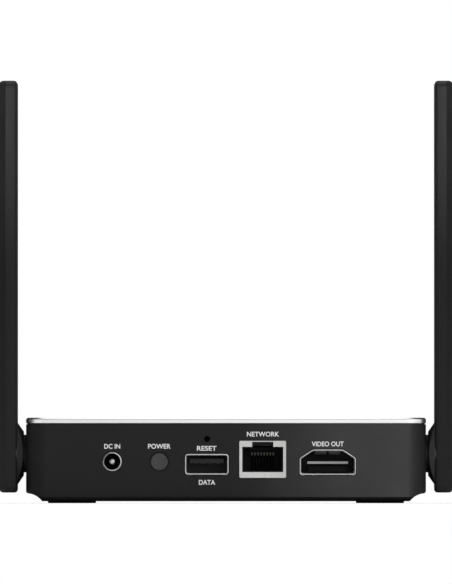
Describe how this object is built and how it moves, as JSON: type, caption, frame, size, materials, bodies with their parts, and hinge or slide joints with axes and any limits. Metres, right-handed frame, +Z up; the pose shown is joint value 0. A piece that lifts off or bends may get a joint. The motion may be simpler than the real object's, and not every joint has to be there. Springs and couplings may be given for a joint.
{
  "type": "streaming media player",
  "caption": "Flat square media streaming box with a silver top plate, a row of sockets along the back and a pair of antennas that fold forward on round hinges.",
  "frame": {"origin": "on the table, under the middle of the part's bounding box with the antennas upright", "axes": "+Z up; the front faces -Y and the sockets are in the +Y wall; +X runs along the socket row towards the power socket"},
  "size_m": [0.1512, 0.1332, 0.1405],
  "materials": {
    "case_plastic": "fine moulded texture, near black",
    "cover_plastic": "fine moulded texture, black",
    "top_plate_metal": "satin, small bevel round the top",
    "rubber": "matt",
    "screw_steel": "black zinc",
    "label": "blank printed film, grey",
    "window": "dark smoked, polished",
    "circuit_board": "green solder mask",
    "chip": "black moulded package",
    "thermal_pad": "soft grey-blue",
    "aluminium": "extruded, bead blasted",
    "tinned_steel": "tinned",
    "gold": "gold plated",
    "coax_jacket": "smooth jacket",
    "ferrite": "sintered ferrite",
    "capacitor_can": "drawn can",
    "clear_plastic": "clear acrylic",
    "socket_plastic": "black glass-filled plastic",
    "socket_steel": "nickel plated",
    "button_plastic": "dark grey",
    "tongue_plastic": "light grey glass-filled plastic",
    "white_plastic": "natural acetal",
    "antenna_plastic": "fine moulded texture, near black",
    "hinge_metal": "zinc plated"
  },
  "bodies": {
    "root": {"antenna_connectors": "gold", "board_screws": "screw_steel", "bottom_cover": "cover_plastic", "capacitors": "capacitor_can", "case_screws": "screw_steel", "coax_left": "coax_jacket", "coax_right": "coax_jacket", "crystal": "tinned_steel", "flash_chip": "chip", "front_window": "window", "heat_sink": "aluminium", "housing": "case_plastic", "inductors": "ferrite", "ir_receiver": "window", "light_pipe": "clear_plastic", "main_board": "circuit_board", "memory_chips": "chip", "network_contacts": "gold", "network_insert": "socket_plastic", "network_shell": "socket_steel", "network_transformer": "chip", "power_button_spring": "socket_steel", "power_jack_body": "socket_plastic", "power_jack_pin": "socket_steel", "power_jack_sleeve": "socket_steel", "power_switch_body": "socket_plastic", "processor": "chip", "rating_label": "label", "reset_board": "circuit_board", "reset_switch_body": "socket_plastic", "rubber_feet": "rubber", "status_led": "clear_plastic", "thermal_pad": "thermal_pad", "top_plate": "top_plate_metal", "usb_contacts": "gold", "usb_shell": "socket_steel", "usb_tongue": "socket_plastic", "video_contacts": "gold", "video_insert": "socket_plastic", "video_shell": "socket_steel", "video_tongue": "tongue_plastic", "wifi_module": "circuit_board", "wifi_shield": "tinned_steel"},
    "antenna_left": {"antenna_left_inner_shell": "antenna_plastic", "antenna_left_outer_cover": "antenna_plastic", "antenna_left_element": "circuit_board", "antenna_left_barrel": "hinge_metal", "antenna_left_washer": "hinge_metal", "antenna_left_clip": "hinge_metal", "antenna_left_coax": "coax_jacket"},
    "antenna_right": {"antenna_right_inner_shell": "antenna_plastic", "antenna_right_outer_cover": "antenna_plastic", "antenna_right_element": "circuit_board", "antenna_right_barrel": "hinge_metal", "antenna_right_washer": "hinge_metal", "antenna_right_clip": "hinge_metal", "antenna_right_coax": "coax_jacket"},
    "power_button": {"power_button": "button_plastic", "power_switch_slider": "white_plastic"},
    "reset_plunger": {"reset_plunger": "button_plastic"}
  },
  "joints": [
    {"name": "antenna_left_fold", "type": "hinge", "parent": "root", "child": "antenna_left", "pos_m": [-0.0694, 0.0525, 0.0165], "axis": [1, 0, 0], "range_deg": [0, 90]},
    {"name": "antenna_right_fold", "type": "hinge", "parent": "root", "child": "antenna_right", "pos_m": [0.0694, 0.0525, 0.0165], "axis": [1, 0, 0], "range_deg": [0, 90]},
    {"name": "power_button_press", "type": "slide", "parent": "root", "child": "power_button", "axis": [0, -1, 0], "range_m": [0, 0.0015], "stiffness_N_per_m": 800, "deforming": ["power_button_spring"]},
    {"name": "reset_press", "type": "slide", "parent": "root", "child": "reset_plunger", "axis": [0, -1, 0], "range_m": [0, 0.0003], "stiffness_N_per_m": 3000}
  ]
}
